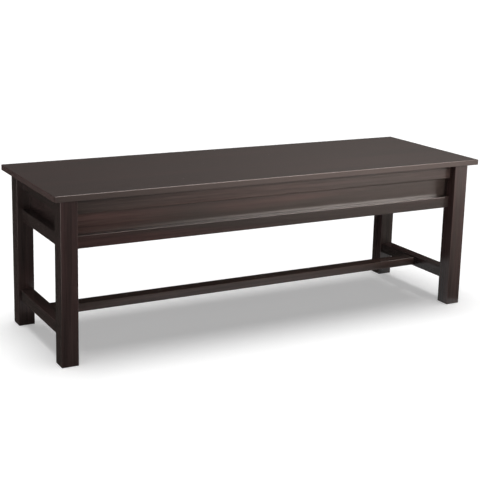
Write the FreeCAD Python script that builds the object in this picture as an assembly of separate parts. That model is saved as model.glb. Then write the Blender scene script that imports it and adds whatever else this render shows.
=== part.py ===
import FreeCAD
import Part
import math
import os

# A monks bench: a long one-piece lid that is also the seat, hinged at the back over a shallow framed
# box on four square legs, with an H of stretchers low down between them. X runs along the bench, the
# front is at -Y, Z is up, and the origin is on the floor under the middle of the lid. Millimetres.

# Lid
seat_height = 457.0
lid_length = 1338.0
lid_depth = 447.0
lid_thickness = 16.0
lid_overhang = 22.0
lid_corner_round = 2.5
lid_top_round = 2.2
lid_underside_round = 1.5
lid_gap = 2.5

# Legs
leg_size = 46.0
leg_round = 1.5

# Aprons: an upper and a lower rail on each side, with a thin panel behind them
rail_thickness = 22.0
upper_rail_height = 43.0
panel_opening = 56.5
lower_rail_height = 34.0
rail_round = 2.0
panel_thickness = 9.0
panel_inset = 3.0

# Stretchers
stretcher_clearance = 76.5
end_stretcher_height = 32.0
end_stretcher_width = 36.0
long_stretcher_height = 24.0
long_stretcher_width = 41.0
stretcher_round = 1.5

# Glued mortise and tenon joints
tenon_thickness = 8.0
tenon_shoulder = 5.0
mortise_wall = 2.0
end_rail_tenon = 18.0
end_stretcher_tenon = 25.0
end_stretcher_tenon_thickness = 12.0
long_stretcher_tenon = 20.0
long_stretcher_tenon_width = 25.0
glue_gap = 0.1
mortise_relief = 1.0

# Box floor
floor_thickness = 9.0
floor_gap = 0.5
cleat_size = 15.0
bearer_width = 30.0
bearer_count = 2
floor_screw_end_inset = 61.0
floor_screws_per_side = 5

# Battens under the lid
batten_width = 45.0
batten_thickness = 15.0
batten_end_inset = 171.0
batten_inset = 15.0
batten_bevel = 8.0
batten_screw_inset = 22.0
batten_screws = 4

# Butt hinges
hinge_end_inset = 121.0
hinge_length = 64.0
leaf_thickness = 2.0
frame_leaf_height = 28.0
lid_leaf_width = 24.0
leaf_screw_end_inset = 7.5
leaf_screw_edge_inset = 10.5
leaf_screw_stagger = 4.5
barrel_radius = 3.75
pin_radius = 1.7
pin_clearance = 0.05
pin_cap_radius = 2.6
pin_cap_thickness = 0.8
knuckle_count = 5
knuckle_gap = 0.3
swing_clearance = 0.3
lid_opening_deg = 98.0

# Folding lid stays, inside each end of the box; places are back from and below the hinge axis
stay_wall_back = 75.0
stay_wall_drop = 60.0
stay_lid_back = 150.0
stay_lid_drop = 6.0
stay_plate = 2.0
stay_gap = 0.4
lower_arm_radius = 7.0
upper_arm_radius = 6.5
elbow_radius = 16.0
pivot_radius = 3.0
pivot_clearance = 0.05
elbow_pin_clearance = 0.1
pivot_head_radius = 5.0
pivot_head = 1.2
wall_bracket_length = 40.0
wall_bracket_height = 22.0
lid_bracket_length = 40.0
lid_bracket_flange = 24.0
lid_bracket_ear = 8.0
bracket_screw_inset = 7.0
bracket_round = 4.0
stop_length = 6.0
stop_thickness = 3.0

# Countersunk screws
screw_clearance = 0.05
recess_width = 0.7
recess_depth = 0.8
recess_reach = 0.6
wood_screw_shank = 1.9
wood_screw_head = 3.8
batten_screw_length = 25.0
floor_screw_length = 20.0
hinge_screw_shank = 1.4
hinge_screw_head = 2.8
frame_leaf_screw_length = 15.0
lid_leaf_screw_length = 12.0
bracket_screw_length = 8.0

# Bumpers and glides
bumper_radius = 5.0
bumper_end_inset = 181.0
glide_radius = 12.5
glide_thickness = 3.0
glide_proud = 1.0
glide_nail_radius = 1.3
glide_nail_length = 14.0

# Places that follow from the sizes above
x_high = lid_length / 2 - lid_overhang
x_low = -x_high
y_high = lid_depth / 2 - lid_overhang
y_low = -y_high
lid_underside = seat_height - lid_thickness
frame_top = lid_underside - lid_gap
upper_rail_z = (frame_top - upper_rail_height, frame_top)
lower_rail_top = upper_rail_z[0] - panel_opening
lower_rail_z = (lower_rail_top - lower_rail_height, lower_rail_top)

inner_x = (x_low + leg_size, x_high - leg_size)
inner_y = (y_low + leg_size, y_high - leg_size)
end_setback = leg_size - rail_thickness - panel_thickness
left_rail_x = (x_low + end_setback, x_low + end_setback + rail_thickness)
right_rail_x = (-left_rail_x[1], -left_rail_x[0])
front_rail_y = (inner_y[0] - rail_thickness, inner_y[0])
back_rail_y = (y_high - rail_thickness, y_high)
front_panel_y = (inner_y[0], inner_y[0] + panel_thickness)
back_panel_y = (back_rail_y[0] - panel_thickness, back_rail_y[0])
panel_z = (lower_rail_z[0] + panel_inset, frame_top)

box_x = inner_x
box_y = (front_panel_y[1], back_panel_y[0])
cleat_z = (panel_z[0], panel_z[0] + cleat_size)
floor_z = (cleat_z[1], cleat_z[1] + floor_thickness)

hinge_y = y_high + barrel_radius + swing_clearance
hinge_z = lid_underside - barrel_radius - swing_clearance
frame_leaf_z = (hinge_z - frame_leaf_height, hinge_z)
lid_leaf_y = (hinge_y - lid_leaf_width, hinge_y)

x_axis = FreeCAD.Vector(1, 0, 0)
y_axis = FreeCAD.Vector(0, 1, 0)
z_axis = FreeCAD.Vector(0, 0, 1)


# Small helpers


def block(x, y, z):
    """A box between three pairs of low and high values."""
    corner = FreeCAD.Vector(x[0], y[0], z[0])
    return Part.makeBox(x[1] - x[0], y[1] - y[0], z[1] - z[0], corner)


def rod(radius, length, start, direction):
    """A round bar from a start point along a direction."""
    return Part.makeCylinder(radius, length, start, direction)


def about(middle, width):
    """The low and high values of a width centred on a place."""
    return (middle - width / 2, middle + width / 2)


def spread(span, inset, count):
    """Evenly spaced places, the first and last an inset from the ends of a span."""
    step = (span[1] - span[0] - 2 * inset) / (count - 1)
    return [span[0] + inset + index * step for index in range(count)]


def eased(shape, radius, axes):
    """Round every edge that runs along one of the given axes."""
    edges = []
    for edge in shape.Edges:
        run = (edge.Vertexes[1].Point - edge.Vertexes[0].Point).normalize()
        if any(abs(run.dot(axis)) > 0.999 for axis in axes):
            edges.append(edge)
    return shape.makeFillet(radius, edges)


def edges_at(shape, height):
    """The edges that lie level at a height."""
    level = []
    for edge in shape.Edges:
        if all(abs(vertex.Point.z - height) < 1e-6 for vertex in edge.Vertexes):
            level.append(edge)
    return level


def flipped(shape):
    """The same piece on the other end of the bench."""
    return shape.mirror(FreeCAD.Vector(0, 0, 0), x_axis)


def save(name, *shapes):
    """Write one sub-part; several solids of one kind share a file."""
    shape = shapes[0] if len(shapes) == 1 else Part.makeCompound(list(shapes))
    for solid in shape.Solids:
        if not solid.isValid():
            raise ValueError(name + " has a solid that is not valid")
    shape.exportStep(os.path.join("parts", name + ".step"))
    print(name, len(shape.Solids), round(shape.Volume / 1000.0, 2), "cm3")


# Countersunk screws and the holes that take them


def countersunk(head, shank, length, point, into, grow):
    """A countersunk screw's outline with its head's top at the point, grown by a clearance."""
    cone_depth = head - shank
    cone = Part.makeCone(head + grow, shank + grow, cone_depth, point, into)
    return cone.fuse(rod(shank + grow, length + grow, point, into))


def screw(head, shank, length, point, into):
    """One screw with a cross recess in its head."""
    body = countersunk(head, shank, length, point, into, 0.0)
    across = x_axis if abs(into.dot(x_axis)) < 0.5 else y_axis
    other = into.cross(across)
    for along, side in ((across, other), (other, across)):
        half = head * recess_reach
        corner = point - along * half - side * (recess_width / 2) - into * recess_depth
        slot = Part.makeBox(2 * half, recess_width, 2 * recess_depth)
        turn = FreeCAD.Rotation(along, side, along.cross(side), "XYZ")
        slot.Placement = FreeCAD.Placement(corner, turn)
        if along.cross(side).dot(into) < 0:
            slot.translate(into * (2 * recess_depth))
        body = body.cut(slot)
    return body


class ScrewSet:
    """Screws of one kind, all driven the same way, and the holes that they need."""

    def __init__(self, head, shank, length, into, points):
        self.screws = [screw(head, shank, length, point, into) for point in points]
        self.holes = [
            countersunk(head, shank, length, point, into, screw_clearance) for point in points
        ]

    def bore(self, shape):
        """Cut these screws' holes in a piece."""
        return shape.cut(self.holes)


# Legs, rails and stretchers, with their joints


def tenons(axis, shoulders, cheeks, heights, length, fit, relief):
    """The two tenons of a rail that runs along X or Y, grown to make its mortises."""
    cheeks = (cheeks[0] - fit, cheeks[1] + fit)
    heights = (heights[0] - fit, heights[1] + fit)
    first = (shoulders[0] - length - relief, shoulders[0])
    second = (shoulders[1], shoulders[1] + length + relief)
    if axis == "x":
        return [block(first, cheeks, heights), block(second, cheeks, heights)]
    return [block(cheeks, first, heights), block(cheeks, second, heights)]


class Rail:
    """A straight rail with a tenon at each end."""

    def __init__(self, axis, shoulders, across, z, radius, tenon_across, tenon_length):
        self.cuts = (axis, shoulders, tenon_across, (z[0] + tenon_shoulder, z[1] - tenon_shoulder))
        self.tenon_length = tenon_length
        if axis == "x":
            body = eased(block(shoulders, across, z), radius, [x_axis])
        else:
            body = eased(block(across, shoulders, z), radius, [y_axis])
        self.shape = body.fuse(tenons(*self.cuts, tenon_length, 0.0, 0.0)).removeSplitter()

    def mortises(self):
        """What this rail's tenons take out of the pieces that they enter."""
        return tenons(*self.cuts, self.tenon_length, glue_gap, mortise_relief)


def apron_rail(axis, across, z):
    """A rail of the box, between two legs."""
    middle = (across[0] + across[1]) / 2
    cheeks = about(middle, tenon_thickness)
    if axis == "x":
        length = panel_thickness + rail_thickness / 2 - tenon_thickness / 2 - mortise_wall
        return Rail("x", inner_x, across, z, rail_round, cheeks, length)
    return Rail("y", inner_y, across, z, rail_round, cheeks, end_rail_tenon)


rails = {
    "front_upper_rail": apron_rail("x", front_rail_y, upper_rail_z),
    "front_lower_rail": apron_rail("x", front_rail_y, lower_rail_z),
    "back_upper_rail": apron_rail("x", back_rail_y, upper_rail_z),
    "back_lower_rail": apron_rail("x", back_rail_y, lower_rail_z),
    "left_upper_rail": apron_rail("y", left_rail_x, upper_rail_z),
    "left_lower_rail": apron_rail("y", left_rail_x, lower_rail_z),
    "right_upper_rail": apron_rail("y", right_rail_x, upper_rail_z),
    "right_lower_rail": apron_rail("y", right_rail_x, lower_rail_z),
}

end_stretcher_z = (stretcher_clearance, stretcher_clearance + end_stretcher_height)
end_stretchers = {}
for side, leg_middle in (("left", x_low + leg_size / 2), ("right", x_high - leg_size / 2)):
    end_stretchers[side + "_end_stretcher"] = Rail(
        "y",
        inner_y,
        about(leg_middle, end_stretcher_width),
        end_stretcher_z,
        stretcher_round,
        about(leg_middle, end_stretcher_tenon_thickness),
        end_stretcher_tenon,
    )

stretcher_inset = (leg_size + end_stretcher_width) / 2
long_stretcher = Rail(
    "x",
    (x_low + stretcher_inset, x_high - stretcher_inset),
    about(0.0, long_stretcher_width),
    about(sum(end_stretcher_z) / 2, long_stretcher_height),
    stretcher_round,
    about(0.0, long_stretcher_tenon_width),
    long_stretcher_tenon,
)


# Glides under the legs and bumpers under the lid

leg_middles = {
    "front_left": (x_low + leg_size / 2, y_low + leg_size / 2),
    "front_right": (x_high - leg_size / 2, y_low + leg_size / 2),
    "back_left": (x_low + leg_size / 2, y_high - leg_size / 2),
    "back_right": (x_high - leg_size / 2, y_high - leg_size / 2),
}


def glide(x, y, grow):
    """A round foot glide with its nail, grown to make the recess that it sits in."""
    pad = rod(glide_radius + grow, glide_thickness, FreeCAD.Vector(x, y, 0), z_axis)
    nail_start = FreeCAD.Vector(x, y, glide_thickness / 2)
    return pad.fuse(rod(glide_nail_radius + grow, glide_nail_length + grow, nail_start, z_axis))


def leg(name):
    """One leg, with the mortises of every rail that meets it and the recess for its glide."""
    x, y = leg_middles[name]
    post = block(about(x, leg_size), about(y, leg_size), (glide_proud, frame_top))
    post = eased(post, leg_round, [z_axis])
    for rail in list(rails.values()) + list(end_stretchers.values()):
        post = post.cut(rail.mortises())
    return post.cut(glide(x, y, screw_clearance))


legs = {name: leg(name) for name in leg_middles}
glides = [glide(x, y, 0.0) for x, y in leg_middles.values()]

bumper_places = list(leg_middles.values())
for x in spread(box_x, bumper_end_inset, 3):
    bumper_places.append((x, sum(front_rail_y) / 2))
bumpers = [rod(bumper_radius, lid_gap, FreeCAD.Vector(x, y, frame_top), z_axis) for x, y in bumper_places]


# Panels, floor, cleats and bearers of the box

panels = {
    "front_panel": block(inner_x, front_panel_y, panel_z),
    "back_panel": block(inner_x, back_panel_y, panel_z),
    "left_panel": block((inner_x[0] - panel_thickness, inner_x[0]), inner_y, panel_z),
    "right_panel": block((inner_x[1], inner_x[1] + panel_thickness), inner_y, panel_z),
}

between_cleats = (box_y[0] + cleat_size, box_y[1] - cleat_size)
cleats = {
    "front_cleat": block(box_x, (box_y[0], between_cleats[0]), cleat_z),
    "back_cleat": block(box_x, (between_cleats[1], box_y[1]), cleat_z),
    "left_cleat": block((box_x[0], box_x[0] + cleat_size), between_cleats, cleat_z),
    "right_cleat": block((box_x[1] - cleat_size, box_x[1]), between_cleats, cleat_z),
}
bearer_bay = (box_x[1] - box_x[0]) / (bearer_count + 1)
bearers = [
    block(about(x, bearer_width), between_cleats, cleat_z)
    for x in spread(box_x, bearer_bay, bearer_count)
]
floor = block(
    (box_x[0] + floor_gap, box_x[1] - floor_gap),
    (box_y[0] + floor_gap, box_y[1] - floor_gap),
    floor_z,
)

floor_screw_points = []
for x in spread(box_x, floor_screw_end_inset, floor_screws_per_side):
    for y in (box_y[0] + cleat_size / 2, box_y[1] - cleat_size / 2):
        floor_screw_points.append(FreeCAD.Vector(x, y, floor_z[1]))
for x in (box_x[0] + cleat_size / 2, box_x[1] - cleat_size / 2):
    floor_screw_points.append(FreeCAD.Vector(x, sum(box_y) / 2, floor_z[1]))
floor_screws = ScrewSet(
    wood_screw_head, wood_screw_shank, floor_screw_length, z_axis * -1, floor_screw_points
)


# Butt hinges: the frame leaf stands on the back rail, the lid leaf lies in the gap under the lid

knuckle_length = (hinge_length - (knuckle_count - 1) * knuckle_gap) / knuckle_count


def knuckle_spans(middle, first):
    """The X ranges of every second knuckle of a hinge, starting from the given one."""
    spans = []
    for index in range(first, knuckle_count, 2):
        start = middle - hinge_length / 2 + index * (knuckle_length + knuckle_gap)
        spans.append((start, start + knuckle_length))
    return spans


def hinge_rod(radius, span):
    """A round bar on the hinge axis over an X range."""
    return rod(radius, span[1] - span[0], FreeCAD.Vector(span[0], hinge_y, hinge_z), x_axis)


def hinge_leaf(plate, middle, first, other):
    """A leaf with its own knuckles, cut clear of the other leaf's knuckles."""
    for low, high in knuckle_spans(middle, other):
        room = (low - knuckle_gap, high + knuckle_gap)
        plate = plate.cut(hinge_rod(barrel_radius + swing_clearance, room))
    for span in knuckle_spans(middle, first):
        plate = plate.fuse(hinge_rod(barrel_radius, span))
    ends = about(middle, hinge_length + 2 * knuckle_gap)
    return plate.removeSplitter().cut(hinge_rod(pin_radius + pin_clearance, ends))


def hinge_pin(middle):
    """The pin, with a peened cap at each end that keeps it in the frame leaf."""
    ends = about(middle, hinge_length)
    pin = hinge_rod(pin_radius, ends)
    for cap in ((ends[0] - pin_cap_thickness, ends[0]), (ends[1], ends[1] + pin_cap_thickness)):
        pin = pin.fuse(hinge_rod(pin_cap_radius, cap))
    return pin


hinge_middles = dict(zip(("left", "middle", "right"), spread(box_x, hinge_end_inset, 3)))
frame_leaf_points = []
lid_leaf_points = []
for middle in hinge_middles.values():
    places = spread(about(middle, hinge_length), leaf_screw_end_inset, 3)
    for x, stagger in zip(places, (0.0, leaf_screw_stagger, 0.0)):
        frame_z = frame_leaf_z[0] + leaf_screw_edge_inset + stagger
        frame_leaf_points.append(FreeCAD.Vector(x, y_high + leaf_thickness, frame_z))
        lid_y = lid_leaf_y[0] + leaf_screw_edge_inset - stagger
        lid_leaf_points.append(FreeCAD.Vector(x, lid_y, lid_underside - leaf_thickness))
frame_leaf_screws = ScrewSet(
    hinge_screw_head, hinge_screw_shank, frame_leaf_screw_length, y_axis * -1, frame_leaf_points
)
lid_leaf_screws = ScrewSet(
    hinge_screw_head, hinge_screw_shank, lid_leaf_screw_length, z_axis, lid_leaf_points
)


# Folding lid stays. Hinge axis, wall pivot, elbow and lid pivot are the corners of a parallelogram, so
# the lower arm turns with the lid and the upper arm keeps its slant at every opening of the lid.

wall_pivot = (hinge_y - stay_wall_back, hinge_z - stay_wall_drop)
lid_pivot = (hinge_y - stay_lid_back, hinge_z - stay_lid_drop)
elbow = (wall_pivot[0] - stay_lid_back, wall_pivot[1] - stay_lid_drop)

# Layers of the right stay along X, from the end wall inwards
wall_plate_x = (inner_x[1] - stay_plate, inner_x[1])
lower_arm_x = (wall_plate_x[0] - stay_gap - stay_plate, wall_plate_x[0] - stay_gap)
upper_arm_x = (lower_arm_x[0] - stay_gap - stay_plate, lower_arm_x[0] - stay_gap)
lid_ear_x = (upper_arm_x[0] - stay_gap - stay_plate, upper_arm_x[0] - stay_gap)


def link(start, end, radius, x):
    """A flat bar with round ends between two points given as (y, z)."""
    first = FreeCAD.Vector(x[0], *start)
    last = FreeCAD.Vector(x[0], *end)
    along = (last - first).normalize() * radius
    side = x_axis.cross(along)
    edges = [
        Part.LineSegment(first + side, last + side).toShape(),
        Part.Arc(last + side, last + along, last - side).toShape(),
        Part.LineSegment(last - side, first - side).toShape(),
        Part.Arc(first - side, first - along, first + side).toShape(),
    ]
    return Part.Face(Part.Wire(edges)).extrude(x_axis * (x[1] - x[0]))


def cross_rod(radius, place, x):
    """A round bar along X at a point given as (y, z)."""
    return rod(radius, x[1] - x[0], FreeCAD.Vector(x[0], *place), x_axis)


def pivot(place, start, end):
    """A pivot that stands on a plate at X = start and has its head past X = end."""
    toward = 1 if end > start else -1
    neck = cross_rod(pivot_radius, place, (min(start, end), max(start, end)))
    head_end = end + toward * pivot_head
    return neck.fuse(cross_rod(pivot_head_radius, place, (min(end, head_end), max(end, head_end))))


def right_lower_arm():
    """The arm from the wall to the elbow, with the tab that stops the lid when it is open."""
    arm = link(wall_pivot, elbow, lower_arm_radius, lower_arm_x)
    arm = arm.fuse(cross_rod(elbow_radius, elbow, lower_arm_x))
    low = elbow[1] + upper_arm_radius + swing_clearance
    along = (elbow[0] + stop_length, elbow[0] + 2 * stop_length)
    tab = block((upper_arm_x[0], lower_arm_x[0]), along, (low, low + stop_thickness))
    rest_angle = math.degrees(math.atan2(stay_wall_drop, stay_wall_back))
    tab.rotate(FreeCAD.Vector(0, *elbow), x_axis, rest_angle + lid_opening_deg)
    arm = arm.fuse(tab).removeSplitter()
    return arm.cut(cross_rod(pivot_radius + pivot_clearance, wall_pivot, lower_arm_x))


def right_upper_arm():
    """The arm from the elbow to the lid."""
    arm = link(elbow, lid_pivot, upper_arm_radius, upper_arm_x)
    arm = arm.cut(cross_rod(pivot_radius + elbow_pin_clearance, elbow, upper_arm_x))
    return arm.cut(cross_rod(pivot_radius + pivot_clearance, lid_pivot, upper_arm_x))


wall_bracket_y = about(wall_pivot[0], wall_bracket_length)
lid_bracket_y = about(lid_pivot[0], lid_bracket_length)
flange_x = (lid_ear_x[1] - lid_bracket_flange, lid_ear_x[1])
wall_bracket_points = [
    FreeCAD.Vector(wall_plate_x[0], y, wall_pivot[1])
    for y in spread(wall_bracket_y, bracket_screw_inset, 2)
]
lid_bracket_points = [
    FreeCAD.Vector((flange_x[0] + lid_ear_x[0]) / 2, y, lid_underside - stay_plate)
    for y in spread(lid_bracket_y, bracket_screw_inset, 2)
]
wall_bracket_screws = ScrewSet(
    hinge_screw_head, hinge_screw_shank, bracket_screw_length, x_axis, wall_bracket_points
)
lid_bracket_screws = ScrewSet(
    hinge_screw_head, hinge_screw_shank, bracket_screw_length + stay_plate, z_axis, lid_bracket_points
)


def right_wall_bracket():
    """The plate on the end wall that carries the lower arm."""
    plate = block(wall_plate_x, wall_bracket_y, about(wall_pivot[1], wall_bracket_height))
    return wall_bracket_screws.bore(eased(plate, bracket_round, [x_axis]))


def right_lid_bracket():
    """The angle bracket under the lid that carries the upper arm."""
    top = (lid_underside - stay_plate, lid_underside)
    flange = eased(block(flange_x, lid_bracket_y, top), bracket_round, [z_axis])
    web = block(lid_ear_x, about(lid_pivot[0], 2 * lid_bracket_ear), (lid_pivot[1], lid_underside))
    ear = cross_rod(lid_bracket_ear, lid_pivot, lid_ear_x)
    return lid_bracket_screws.bore(flange.fuse([web, ear]).removeSplitter())


wall_pivot_stud = pivot(wall_pivot, wall_plate_x[0], lower_arm_x[0] - stay_gap)
elbow_stud = pivot(elbow, lower_arm_x[0], upper_arm_x[0] - stay_gap)
lid_pivot_stud = pivot(lid_pivot, lid_ear_x[1], upper_arm_x[1] + stay_gap)


# Lid and battens

batten_y = (box_y[0] + batten_inset, box_y[1] - batten_inset)
batten_z = (lid_underside - batten_thickness, lid_underside)
batten_middles = dict(zip(("left", "middle", "right"), spread(box_x, batten_end_inset, 3)))
batten_screw_points = []
for middle in batten_middles.values():
    for y in spread(batten_y, batten_screw_inset, batten_screws):
        batten_screw_points.append(FreeCAD.Vector(middle, y, batten_z[0]))
batten_screw_set = ScrewSet(
    wood_screw_head, wood_screw_shank, batten_screw_length, z_axis, batten_screw_points
)


def batten(middle):
    """A cross batten with bevelled ends."""
    y, z = batten_y, batten_z
    outline = [
        (y[0], z[1]),
        (y[0], z[0] + batten_bevel),
        (y[0] + batten_bevel, z[0]),
        (y[1] - batten_bevel, z[0]),
        (y[1], z[0] + batten_bevel),
        (y[1], z[1]),
    ]
    start = middle - batten_width / 2
    points = [FreeCAD.Vector(start, *place) for place in outline + outline[:1]]
    return Part.Face(Part.makePolygon(points)).extrude(x_axis * batten_width)


def make_lid():
    """The seat board, rounded more at its top edge than underneath."""
    size = (about(0.0, lid_length), about(0.0, lid_depth), (lid_underside, seat_height))
    board = eased(block(*size), lid_corner_round, [z_axis])
    board = board.makeFillet(lid_top_round, edges_at(board, seat_height))
    board = board.makeFillet(lid_underside_round, edges_at(board, lid_underside))
    for screws in (batten_screw_set, lid_leaf_screws, lid_bracket_screws):
        board = screws.bore(board)
    return board.cut([flipped(hole) for hole in lid_bracket_screws.holes])


# Write every sub-part

os.makedirs("parts", exist_ok=True)

for name, shape in legs.items():
    save(name + "_leg", shape)
for name, rail in rails.items():
    shape = frame_leaf_screws.bore(rail.shape) if name == "back_upper_rail" else rail.shape
    save(name, shape)
for name, rail in end_stretchers.items():
    save(name, rail.shape.cut(long_stretcher.mortises()))
save("long_stretcher", long_stretcher.shape)

panels["right_panel"] = wall_bracket_screws.bore(panels["right_panel"])
panels["left_panel"] = panels["left_panel"].cut([flipped(hole) for hole in wall_bracket_screws.holes])
for name, shape in panels.items():
    save(name, shape)
for name, shape in cleats.items():
    save(name, floor_screws.bore(shape))
save("box_floor", floor_screws.bore(floor))
save("floor_bearers", *bearers)
save("floor_screws", *floor_screws.screws)
save("foot_glides", *glides)
save("lid_bumpers", *bumpers)

save("lid", make_lid())
for name, middle in batten_middles.items():
    save("lid_batten_" + name, batten_screw_set.bore(batten(middle)))
save("batten_screws", *batten_screw_set.screws)

for name, middle in hinge_middles.items():
    span = about(middle, hinge_length)
    frame_plate = block(span, (y_high, y_high + leaf_thickness), frame_leaf_z)
    lid_plate = block(span, lid_leaf_y, (lid_underside - leaf_thickness, lid_underside))
    save("hinge_frame_leaf_" + name, frame_leaf_screws.bore(hinge_leaf(frame_plate, middle, 0, 1)))
    save("hinge_lid_leaf_" + name, lid_leaf_screws.bore(hinge_leaf(lid_plate, middle, 1, 0)))
save("hinge_pins", *[hinge_pin(middle) for middle in hinge_middles.values()])
save("hinge_frame_screws", *frame_leaf_screws.screws)
save("hinge_lid_screws", *lid_leaf_screws.screws)

stay_pieces = {
    "stay_wall_bracket": right_wall_bracket(),
    "stay_wall_pivot": wall_pivot_stud,
    "stay_lower_arm": right_lower_arm(),
    "stay_elbow_pin": elbow_stud,
    "stay_upper_arm": right_upper_arm(),
    "stay_lid_bracket": right_lid_bracket(),
    "stay_lid_pivot": lid_pivot_stud,
}
for name, shape in stay_pieces.items():
    save(name + "_right", shape)
    save(name + "_left", flipped(shape))
for name, screws in (("stay_wall_screws", wall_bracket_screws), ("stay_lid_screws", lid_bracket_screws)):
    save(name, *screws.screws, *[flipped(one) for one in screws.screws])
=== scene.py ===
import math

import bpy
from mathutils import Matrix, Vector

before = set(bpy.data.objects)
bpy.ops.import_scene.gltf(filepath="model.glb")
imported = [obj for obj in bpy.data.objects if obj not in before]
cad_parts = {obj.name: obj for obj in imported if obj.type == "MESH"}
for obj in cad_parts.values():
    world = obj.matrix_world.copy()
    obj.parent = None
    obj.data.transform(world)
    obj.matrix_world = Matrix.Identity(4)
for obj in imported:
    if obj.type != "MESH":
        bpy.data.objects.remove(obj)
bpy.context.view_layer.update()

# The finish of a monks bench: espresso stain under satin lacquer on every board, bronzed hinges,
# zinc plated stays and screws, rubber bumpers and nylon glides. Metres, in the frame of the CAD model.

MM = 0.001


# Colours and nodes

# The sockets of a Mix node that mixes two colours
FACTOR, FIRST, SECOND, MIXED = 0, 6, 7, 2


def linear(hex_colour):
    """A six digit sRGB hex colour as linear RGBA."""
    channels = []
    for start in (0, 2, 4):
        value = int(hex_colour[start:start + 2], 16) / 255
        channels.append(value / 12.92 if value <= 0.04045 else ((value + 0.055) / 1.055) ** 2.4)
    return (*channels, 1.0)


def add(tree, kind, sockets=None, stops=(), **fields):
    """Add one node: its fields, its sockets as values or links, and the stops of a colour ramp."""
    node = tree.nodes.new("ShaderNode" + kind)
    for field, value in fields.items():
        setattr(node, field, value)
    for socket, value in (sockets or {}).items():
        if isinstance(value, bpy.types.NodeSocket):
            tree.links.new(value, node.inputs[socket])
        else:
            node.inputs[socket].default_value = value
    for number, (place, colour) in enumerate(stops):
        elements = node.color_ramp.elements
        element = elements.new(place) if number > 1 else elements[number]
        element.position = place
        element.color = linear(colour)
    return node.outputs


def new_tree(holder):
    """The emptied node tree of a new material or world."""
    holder.use_nodes = True
    holder.node_tree.nodes.clear()
    return holder.node_tree


def drawn_out(tree, place, axis, length, width, detail):
    """Noise drawn out along one axis, whose streaks have this length and width in millimetres."""
    scale = [1 / (width * MM)] * 3
    scale[axis] = 1 / (length * MM)
    drawn = add(tree, "Mapping", {"Vector": place["Object"], "Scale": scale})
    return add(tree, "TexNoise", {"Vector": drawn[0], "Scale": 1.0, "Detail": detail})["Fac"]


# Wood

# How squarely a side faces along an axis: where it starts to turn into an arris, and where it is flat
TURNING = 0.85
FLAT = 0.97


def heart_at_one_end(tree, place, bands, figure, heart):
    """Redder and more figured wood that fades out between two places along X."""
    more_red, less_red, fainter = 0.3, -0.24, 0.3
    along = add(tree, "SeparateXYZ", {0: place["Object"]})
    fading = {"Value": along["X"], "From Min": heart[0], "From Max": heart[1]}
    redder = add(tree, "MapRange", {**fading, "To Min": more_red, "To Max": less_red})
    figured = add(tree, "MapRange", {**fading, "To Min": figure, "To Max": fainter * figure})
    return add(tree, "Math", {0: bands, 1: redder[0]})[0], figured[0]


def espresso_stain(tree, place, axis, fibres, brown, red, figure, heart):
    """Broad bands choose between brown and red, and darker streaks and fibres run through them."""
    bands = drawn_out(tree, place, axis, length=700, width=45, detail=2.0)
    streaks = drawn_out(tree, place, axis, length=320, width=9, detail=3.0)
    if heart:
        bands, figure = heart_at_one_end(tree, place, bands, figure, heart)
    body = add(tree, "ValToRGB", {"Fac": bands}, stops=((0.35, brown), (0.72, red)))
    dark_streaks = add(tree, "ValToRGB", {"Fac": streaks}, stops=((0.3, "6E6664"), (0.62, "FFFFFF")))
    dark_fibres = add(tree, "ValToRGB", {"Fac": fibres}, stops=((0.3, "A8A4A2"), (0.7, "FFFFFF")))
    stained = body[0]
    for darker in (dark_streaks, dark_fibres):
        stained = add(
            tree,
            "Mix",
            {FACTOR: figure, FIRST: stained, SECOND: darker[0]},
            data_type="RGBA",
            blend_type="MULTIPLY",
        )[MIXED]
    return stained


def ends_and_arrises(tree, facing, axis, stained, end_grain_and_painted_light, painted_light_edge, pale="594A47", sanded_through=0.4):
    """The end grain's tone, a painted highlight on the front and back edges if that tone is given, and paler
    sanded arrises.
    """
    faced = [add(tree, "Math", {0: facing[number]}, operation="ABSOLUTE")[0] for number in range(3)]
    end_grain_and_painted_sides = [(faced[axis], end_grain_and_painted_light)]
    if painted_light_edge:
        end_grain_and_painted_sides.append((faced[1], painted_light_edge))
    # The front and back edge tone is a painted highlight. The end grain tone is the wood's own, except on
    # the seat board, where it is painted lighter as a painted highlight.
    for side, tone in end_grain_and_painted_sides:
        square_on = add(tree, "MapRange", {"Value": side, "From Min": TURNING, "From Max": FLAT})
        stained = add(
            tree,
            "Mix",
            {FACTOR: square_on[0], FIRST: stained, SECOND: linear(tone)},
            data_type="RGBA",
        )[MIXED]
    # An arris faces along none of the axes, not even nearly.
    squarest = add(tree, "Math", {0: faced[0], 1: faced[1]}, operation="MAXIMUM")
    squarest = add(tree, "Math", {0: squarest[0], 1: faced[2]}, operation="MAXIMUM")
    between_sides = {"Value": squarest[0], "From Min": FLAT, "From Max": 0.8}
    sanded = add(tree, "MapRange", {**between_sides, "To Max": sanded_through})
    return add(
        tree,
        "Mix",
        {FACTOR: sanded[0], FIRST: stained, SECOND: linear(pale)},
        data_type="RGBA",
    )[MIXED]


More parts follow.
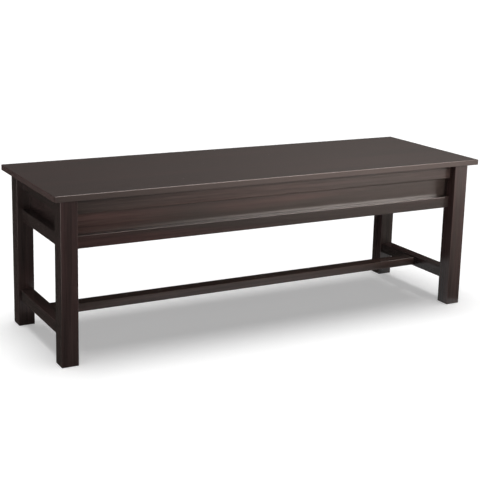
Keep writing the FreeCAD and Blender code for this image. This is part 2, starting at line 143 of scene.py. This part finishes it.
def stained_maple(
    name,
    grain,
    end_grain_and_painted_light="33282A",
    brown="382E2C",
    red="493332",
    figure=0.5,
    heart=None,
    painted_light_edge=None,
    roughness=0.23,
    matt_underside=False,
):
    """Close grained maple, wiped with espresso stain and sprayed with satin lacquer.

    The stain sinks deepest into the soft early wood, which leaves long dark and red brown streaks
    along the grain; figure is how strongly they show. Sanding thins the stain on the arrises, and
    end grain takes it up in a tone of its own, given as an argument. On the seat board that end
    grain tone is painted lighter, and a lighter tone is painted on its front and back edges: painted
    highlights for the light that its rounded edges catch. The lacquer fills all but the finest pores, so
    only a faint ripple of the fibres is left in the gloss. Where a board keeps red heart wood at
    one end, heart gives the places in metres along X between which it fades out. A matt underside
    has had one thin coat instead of three.
    """
    finish = bpy.data.materials.new(name)
    tree = new_tree(finish)
    place = add(tree, "TexCoord")
    facing = add(tree, "SeparateXYZ", {0: place["Normal"]})
    axis = "xyz".index(grain)
    fibres = drawn_out(tree, place, axis, length=70, width=1.6, detail=2.0)
    pores = drawn_out(tree, place, axis, length=6, width=0.4, detail=1.0)

    stained = espresso_stain(tree, place, axis, fibres, brown, red, figure, heart)
    board = ends_and_arrises(tree, facing, axis, stained, end_grain_and_painted_light, painted_light_edge)

    lacquer = add(
        tree,
        "MapRange",
        {"Value": fibres, "To Min": roughness - 0.04, "To Max": roughness + 0.04},
    )
    if matt_underside:
        facing_down = {"Value": facing["Z"], "From Min": -TURNING, "From Max": -FLAT}
        thin_coat = add(tree, "MapRange", {**facing_down, "To Max": 0.3})
        lacquer = add(tree, "Math", {0: lacquer[0], 1: thin_coat[0]})
    ripple = add(tree, "Bump", {"Height": fibres, "Distance": 0.012 * MM})
    pitted = add(tree, "Bump", {"Height": pores, "Distance": 0.006 * MM, "Normal": ripple[0]})
    shader = add(
        tree,
        "BsdfPrincipled",
        {"Base Color": board, "Roughness": lacquer[0], "IOR": 1.5, "Normal": pitted[0]},
    )
    add(tree, "OutputMaterial", {"Surface": shader[0]})
    return finish


# Metal, nylon and rubber


def plated_steel(name, colour, roughness):
    """Pressed steel strip, zinc plated or bronzed: a soft metal gloss in slightly cloudy tones.

    The rollers leave fine lines along the strip, which the plating keeps.
    """
    finish = bpy.data.materials.new(name)
    tree = new_tree(finish)
    place = add(tree, "TexCoord")
    lines = drawn_out(tree, place, 0, length=16.7, width=0.625, detail=2.0)
    clouds = add(tree, "TexNoise", {"Vector": place["Object"], "Scale": 1 / (11 * MM), "Detail": 3.0})
    rubbed = add(
        tree,
        "MapRange",
        {"Value": lines, "To Min": roughness - 0.07, "To Max": roughness + 0.07},
    )
    clear = linear(colour)
    cloudy = [0.8 * channel for channel in clear[:3]] + [1.0]
    tone = add(
        tree,
        "Mix",
        {FACTOR: clouds["Fac"], FIRST: clear, SECOND: cloudy},
        data_type="RGBA",
    )[MIXED]
    shader = add(
        tree,
        "BsdfPrincipled",
        {"Base Color": tone, "Metallic": 1.0, "Roughness": rubbed[0]},
    )
    add(tree, "OutputMaterial", {"Surface": shader[0]})
    return finish


def moulded(name, colour, roughness, ior):
    """Moulded nylon or rubber: dark and dull, with the fine grit of the mould."""
    finish = bpy.data.materials.new(name)
    tree = new_tree(finish)
    place = add(tree, "TexCoord")
    grit = add(tree, "TexNoise", {"Vector": place["Object"], "Scale": 1 / (0.8 * MM), "Detail": 2.0})
    matt = add(
        tree,
        "MapRange",
        {"Value": grit["Fac"], "To Min": roughness - 0.06, "To Max": roughness + 0.06},
    )
    tone = add(tree, "ValToRGB", {"Fac": grit["Fac"]}, stops=((0.2, "1F1C1B"), (0.8, colour)))
    rough = add(tree, "Bump", {"Height": grit["Fac"], "Distance": 0.03 * MM})
    shader = add(
        tree,
        "BsdfPrincipled",
        {"Base Color": tone[0], "Roughness": matt[0], "IOR": ior, "Normal": rough[0]},
    )
    add(tree, "OutputMaterial", {"Surface": shader[0]})
    return finish


# The bench's own pieces


def dress(finish, *names):
    """Give CAD nodes a finish."""
    for name in names:
        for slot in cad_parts[name].material_slots:
            slot.material = finish


def soften(piece, sharp_deg=40):
    """Shade rounds smoothly, and keep flat sides flat and corners sharp."""
    mesh = piece.data
    mesh.polygons.foreach_set("use_smooth", [True] * len(mesh.polygons))
    mesh.set_sharp_from_angle(angle=math.radians(sharp_deg))
    weighted = piece.modifiers.new("flat_sides", "WEIGHTED_NORMAL")
    weighted.mode = "FACE_AREA"
    weighted.weight = 100
    weighted.keep_sharp = True


nodes = sorted(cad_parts)
rails = [name for name in nodes if name.endswith("_rail")]
legs = [name for name in nodes if name.endswith("_leg")]
long_rails = [name for name in rails if name.startswith(("front", "back"))]
end_rails = [name for name in rails if name.startswith(("left", "right"))]
screws = [name for name in nodes if name.endswith("screws")]
hinges = [name for name in nodes if name.startswith("hinge_")]
stays = [name for name in nodes if name.startswith("stay_")]

seat_board = stained_maple(
    "stained_maple_seat_board",
    "x",
    # The seat board's end grain and its front and back edges are painted lighter than its top: painted
    # highlights for the light that its rounded edges catch.
    end_grain_and_painted_light="5A4846",
    brown="352B2A",
    red="3E302F",
    figure=0.15,
    painted_light_edge="4B403D",
    matt_underside=True,
)
heart_rail = stained_maple(
    "stained_maple_heart_rail",
    "x",
    brown="302826",
    red="4C3331",
    heart=(-0.6, 0.1),
)
long_panels = stained_maple(
    "stained_maple_long_panels",
    "x",
    brown="3D3431",
    red="583F3B",
    figure=0.6,
    heart=(-0.6, -0.25),
)
long_members = stained_maple("stained_maple_long_rails", "x", brown="433936", red="4E3B37")

dress(seat_board, "lid")
dress(stained_maple("stained_maple_posts", "z"), *legs)
dress(long_members, *long_rails, "long_stretcher")
dress(heart_rail, "front_lower_rail")
dress(stained_maple("stained_maple_end_rails", "y"), *end_rails, "left_end_stretcher", "right_end_stretcher")
dress(long_panels, "front_panel", "back_panel")
dress(stained_maple("stained_maple_end_panels", "y"), "left_panel", "right_panel")
dress(
    stained_maple("stained_maple_battens", "y", roughness=0.5),
    "lid_batten_left",
    "lid_batten_middle",
    "lid_batten_right",
    "left_cleat",
    "right_cleat",
    "floor_bearers",
)
dress(stained_maple("stained_plywood_floor", "x"), "box_floor", "front_cleat", "back_cleat")
dress(plated_steel("bronzed_steel_hinges", "6A5645", roughness=0.38), *hinges)
dress(plated_steel("zinc_plated_stays", "8E9090", roughness=0.36), *stays)
dress(plated_steel("zinc_plated_screws", "9E9A90", roughness=0.32), *screws)
dress(moulded("nylon_glides", "35322F", roughness=0.45, ior=1.53), "foot_glides")
dress(moulded("rubber_bumpers", "2E2A28", roughness=0.75, ior=1.52), "lid_bumpers")

for name in nodes:
    soften(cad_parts[name])


# Studio


def pale_when_seen(tree):
    """1 for the rays that show the background: the camera's, mirrored ones and those through glass."""
    rays = add(tree, "LightPath")
    seen = add(tree, "Math", {0: rays["Is Camera Ray"], 1: rays["Is Glossy Ray"]}, operation="MAXIMUM")
    return add(tree, "Math", {0: seen[0], 1: rays["Is Transmission Ray"]}, operation="MAXIMUM")[0]


def pale_world(ambient):
    """White where it is seen, and an even soft level where it lights."""
    world = bpy.data.worlds.new("pale_studio")
    bpy.context.scene.world = world
    tree = new_tree(world)
    strength = add(tree, "MapRange", {"Value": pale_when_seen(tree), "To Min": ambient, "To Max": 1.0})
    glow = add(tree, "Background", {"Color": (1.0, 1.0, 1.0, 1.0), "Strength": strength[0]})
    add(tree, "OutputWorld", {"Surface": glow[0]})


def studio_sheet(name, corners, faces, finish):
    """A stage piece from its corners."""
    mesh = bpy.data.meshes.new(name)
    mesh.from_pydata(corners, [], faces)
    mesh.materials.append(finish)
    sheet = bpy.data.objects.new(name, mesh)
    bpy.context.scene.collection.objects.link(sheet)
    return sheet


def pale_floor(half_size, lift):
    """A matt white floor that keeps the bench's shadow, lifted to white only where it is seen."""
    finish = bpy.data.materials.new("matt_white_floor")
    tree = new_tree(finish)
    glow = add(tree, "MapRange", {"Value": pale_when_seen(tree), "To Min": 0.0, "To Max": lift})
    shader = add(
        tree,
        "BsdfPrincipled",
        {
            "Base Color": linear("E7E7E7"),
            "Roughness": 1.0,
            "Specular IOR Level": 0.0,
            "Emission Color": (1.0, 1.0, 1.0, 1.0),
            "Emission Strength": glow[0],
        },
    )
    add(tree, "OutputMaterial", {"Surface": shader[0]})
    corners = [(x * half_size, y * half_size, 0.0) for x, y in ((-1, -1), (1, -1), (1, 1), (-1, 1))]
    return studio_sheet("studio_floor", corners, [(0, 1, 2, 3)], finish)


def flat_finish(
    name,
    colour,
    towards,
    start,
    end,
    level_start,
    level_end,
    dark_below=-1.0,
    full_above=-0.5,
):
    """A sheet that glows brighter in one direction, from start to end, and dims near the ground."""
    finish = bpy.data.materials.new(name)
    tree = new_tree(finish)
    place = add(tree, "TexCoord")
    along = add(tree, "VectorMath", {0: place["Object"], 1: towards}, operation="DOT_PRODUCT")
    level = add(
        tree,
        "MapRange",
        {
            "Value": along["Value"],
            "From Min": start,
            "From Max": end,
            "To Min": level_start,
            "To Max": level_end,
        },
        interpolation_type="SMOOTHSTEP",
    )
    height = add(tree, "SeparateXYZ", {0: place["Object"]})
    raised = add(
        tree,
        "MapRange",
        {"Value": height["Z"], "From Min": dark_below, "From Max": full_above, "To Min": 0.1},
        interpolation_type="SMOOTHSTEP",
    )
    strength = add(tree, "Math", {0: level[0], 1: raised[0]}, operation="MULTIPLY")
    glow = add(tree, "Emission", {"Color": linear(colour), "Strength": strength[0]})
    add(tree, "OutputMaterial", {"Surface": glow[0]})
    return finish


def only_mirrored(sheet):
    """Show a sheet in gloss alone: it gives no light and no shade."""
    sheet.visible_camera = False
    sheet.visible_diffuse = False
    sheet.visible_shadow = False
    sheet.visible_transmission = False


def grey_flats(radius, height):
    """Grey flats and a grey ground sheet round the set, which the satin lacquer mirrors.

    The ground sheet leaves the floor under the bench bare. A low black flat stands behind the bench.
    """
    sides = 48
    above_floor = 2 * MM
    bare_centre = (0.1, -0.045)
    bare_reach = (0.72, 0.3)
    turns = [2 * math.pi * side / sides for side in range(sides)]
    ring = [(math.cos(turn), math.sin(turn)) for turn in turns]
    low = [(radius * x, radius * y, above_floor) for x, y in ring]
    high = [(radius * x, radius * y, height) for x, y in ring]
    bare = [
        (bare_centre[0] + bare_reach[0] * x, bare_centre[1] + bare_reach[1] * y, above_floor)
        for x, y in ring
    ]
    strips = [(side, (side + 1) % sides, (side + 1) % sides + sides, side + sides) for side in range(sides)]

    wall_grey = flat_finish(
        "grey_wall_flats",
        "FFF9F1",
        towards=(0.7, -0.7, 0.0),
        start=-2.0,
        end=0.6,
        level_start=0.11,
        level_end=0.26,
        dark_below=0.45,
        full_above=1.0,
    )
    only_mirrored(studio_sheet("studio_wall_flats", low + high, strips, wall_grey))

    ground_grey = flat_finish(
        "grey_ground_sheet",
        "FFF6EA",
        towards=(0.9, -0.4, 0.0),
        start=0.2,
        end=1.6,
        level_start=0.065,
        level_end=0.45,
    )
    only_mirrored(studio_sheet("studio_ground_sheet", low + bare, strips, ground_grey))

    black = flat_finish(
        "low_black_flat",
        "000000",
        towards=(1.0, 0.0, 0.0),
        start=0.0,
        end=1.0,
        level_start=0.0,
        level_end=0.0,
    )
    left, right, behind, foot, top = -0.6, 1.6, 0.45, 3 * MM, 0.34
    corners = [(left, behind, foot), (right, behind, foot), (right, behind, top), (left, behind, top)]
    only_mirrored(studio_sheet("low_black_flat", corners, [(0, 1, 2, 3)], black))


def flag(source, pieces, state):
    """Keep a light off these pieces with EXCLUDE, or on these alone with INCLUDE."""
    linked = bpy.data.collections.new(source.name + "_flag")
    source.light_linking.receiver_collection = linked
    for number, piece in enumerate(pieces):
        linked.objects.link(piece)
        linked.collection_objects[number].light_linking.link_state = state


def soft_card(name, low_edge, high_edge, level_left, level_right, mirrored_by=(), run=1.6):
    """A card of light between two edges, whose level changes over a run in metres from its left end.

    It is seen in gloss alone, by the whole bench or only by the pieces that it is mirrored by.
    """
    corners = [low_edge[0], low_edge[1], high_edge[1], high_edge[0]]
    x_left = low_edge[0][0]
    finish = flat_finish(
        name,
        "FFF5EF",
        towards=(1.0, 0.0, 0.0),
        start=x_left,
        end=x_left + run,
        level_start=level_left,
        level_end=level_right,
    )
    card = studio_sheet(name, corners, [(0, 1, 2, 3)], finish)
    only_mirrored(card)
    if mirrored_by:
        flag(card, [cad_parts[piece] for piece in mirrored_by], "INCLUDE")


def soft_sun(name, from_direction, spread_deg, strength):
    """An even soft light that reaches the whole floor alike, and puts no glare on the seat board."""
    data = bpy.data.lights.new(name, "SUN")
    data.angle = math.radians(spread_deg)
    data.energy = strength
    lamp = bpy.data.objects.new(name, data)
    lamp.rotation_euler = Vector(from_direction).to_track_quat("Z", "Y").to_euler()
    lamp.visible_glossy = False
    bpy.context.scene.collection.objects.link(lamp)


def strip_light(name, place, aim, width, height, spread_deg, power, shaded):
    """A strip light on one side of the bench, flagged off the floor and out of the gloss."""
    data = bpy.data.lights.new(name, "AREA")
    data.shape = "RECTANGLE"
    data.size = width
    data.size_y = height
    data.spread = math.radians(spread_deg)
    data.energy = power
    data.color = (1.0, 0.96, 0.9)
    lamp = bpy.data.objects.new(name, data)
    lamp.location = place
    lamp.rotation_euler = (Vector(place) - Vector(aim)).to_track_quat("Z", "Y").to_euler()
    lamp.visible_glossy = False
    bpy.context.scene.collection.objects.link(lamp)
    flag(lamp, [shaded], "EXCLUDE")


pale_world(ambient=0.2)
floor = pale_floor(half_size=60.0, lift=0.33)
soft_sun("overhead_softness", (0.0, 0.0, 1.0), spread_deg=34, strength=2.45)
strip_light(
    "front_strip_key",
    place=(0.57, -1.6, 0.94),
    aim=(0.30, -0.2, 0.84),
    width=0.7,
    height=0.1,
    spread_deg=80,
    power=5.8,
    shaded=floor,
)
strip_light(
    "back_strip_fill",
    place=(1.0, 2.1, 0.5),
    aim=(0.0, 0.2, 0.3),
    width=1.0,
    height=0.5,
    spread_deg=140,
    power=24.0,
    shaded=floor,
)
grey_flats(radius=2.6, height=3.2)

# The low card in front, brighter towards the right as the sheen on the photograph's legs is
soft_card(
    "front_card_low",
    low_edge=((-0.35, -1.8, 0.01), (2.2, -1.3, 0.01)),
    high_edge=((-0.35, -1.8, 0.45), (2.2, -1.3, 0.45)),
    level_left=0.1,
    level_right=1.4,
)

# The card behind the glint along the top of the front lower rail. The seat board would mirror it
# white from behind, so only the front of the bench does.
soft_card(
    "front_card_high",
    low_edge=((-0.15, -1.76, 0.65), (1.70, -1.40, 0.65)),
    high_edge=((-0.15, -1.76, 0.92), (1.70, -1.40, 0.92)),
    level_left=0.2,
    level_right=48.0,
    mirrored_by=("front_panel", "front_upper_rail", "front_lower_rail", "front_left_leg", "front_right_leg"),
)

# The card over the front, which the lid's front edge and the tops of the rails mirror
soft_card(
    "overhead_card",
    low_edge=((-0.6, -1.5, 1.9), (2.2, -1.2, 1.9)),
    high_edge=((-0.6, 0.0, 2.6), (2.2, 0.0, 2.6)),
    level_left=5.0,
    level_right=13.0,
)

# The card that keeps the left end from going black
soft_card(
    "left_card",
    low_edge=((-1.3, -0.3, 0.01), (-1.1, -1.2, 0.01)),
    high_edge=((-1.3, -0.3, 1.0), (-1.1, -1.2, 1.0)),
    level_left=4.0,
    level_right=4.0,
    mirrored_by=(*legs, "left_panel", "left_upper_rail", "left_lower_rail", "left_end_stretcher"),
)


# Camera, fitted to the photograph's own edges

camera_place = (-1.530, -2.720, 1.053)
turned_right_deg = 29.15
tipped_down_deg = 12.40
rolled_deg = 1.46

camera_data = bpy.data.cameras.new("photo_camera")
camera_data.sensor_width = 36.0
camera_data.lens = 81.95
camera_data.shift_x = -0.010
camera_data.shift_y = -0.10
camera_data.clip_end = 200.0
camera = bpy.data.objects.new("photo_camera", camera_data)
camera.matrix_world = (
    Matrix.Translation(camera_place)
    @ Matrix.Rotation(math.radians(-turned_right_deg), 4, "Z")
    @ Matrix.Rotation(math.radians(90 - tipped_down_deg), 4, "X")
    @ Matrix.Rotation(math.radians(rolled_deg), 4, "Z")
)
bpy.context.scene.collection.objects.link(camera)
bpy.context.scene.camera = camera
bpy.context.scene.view_settings.view_transform = "Standard"
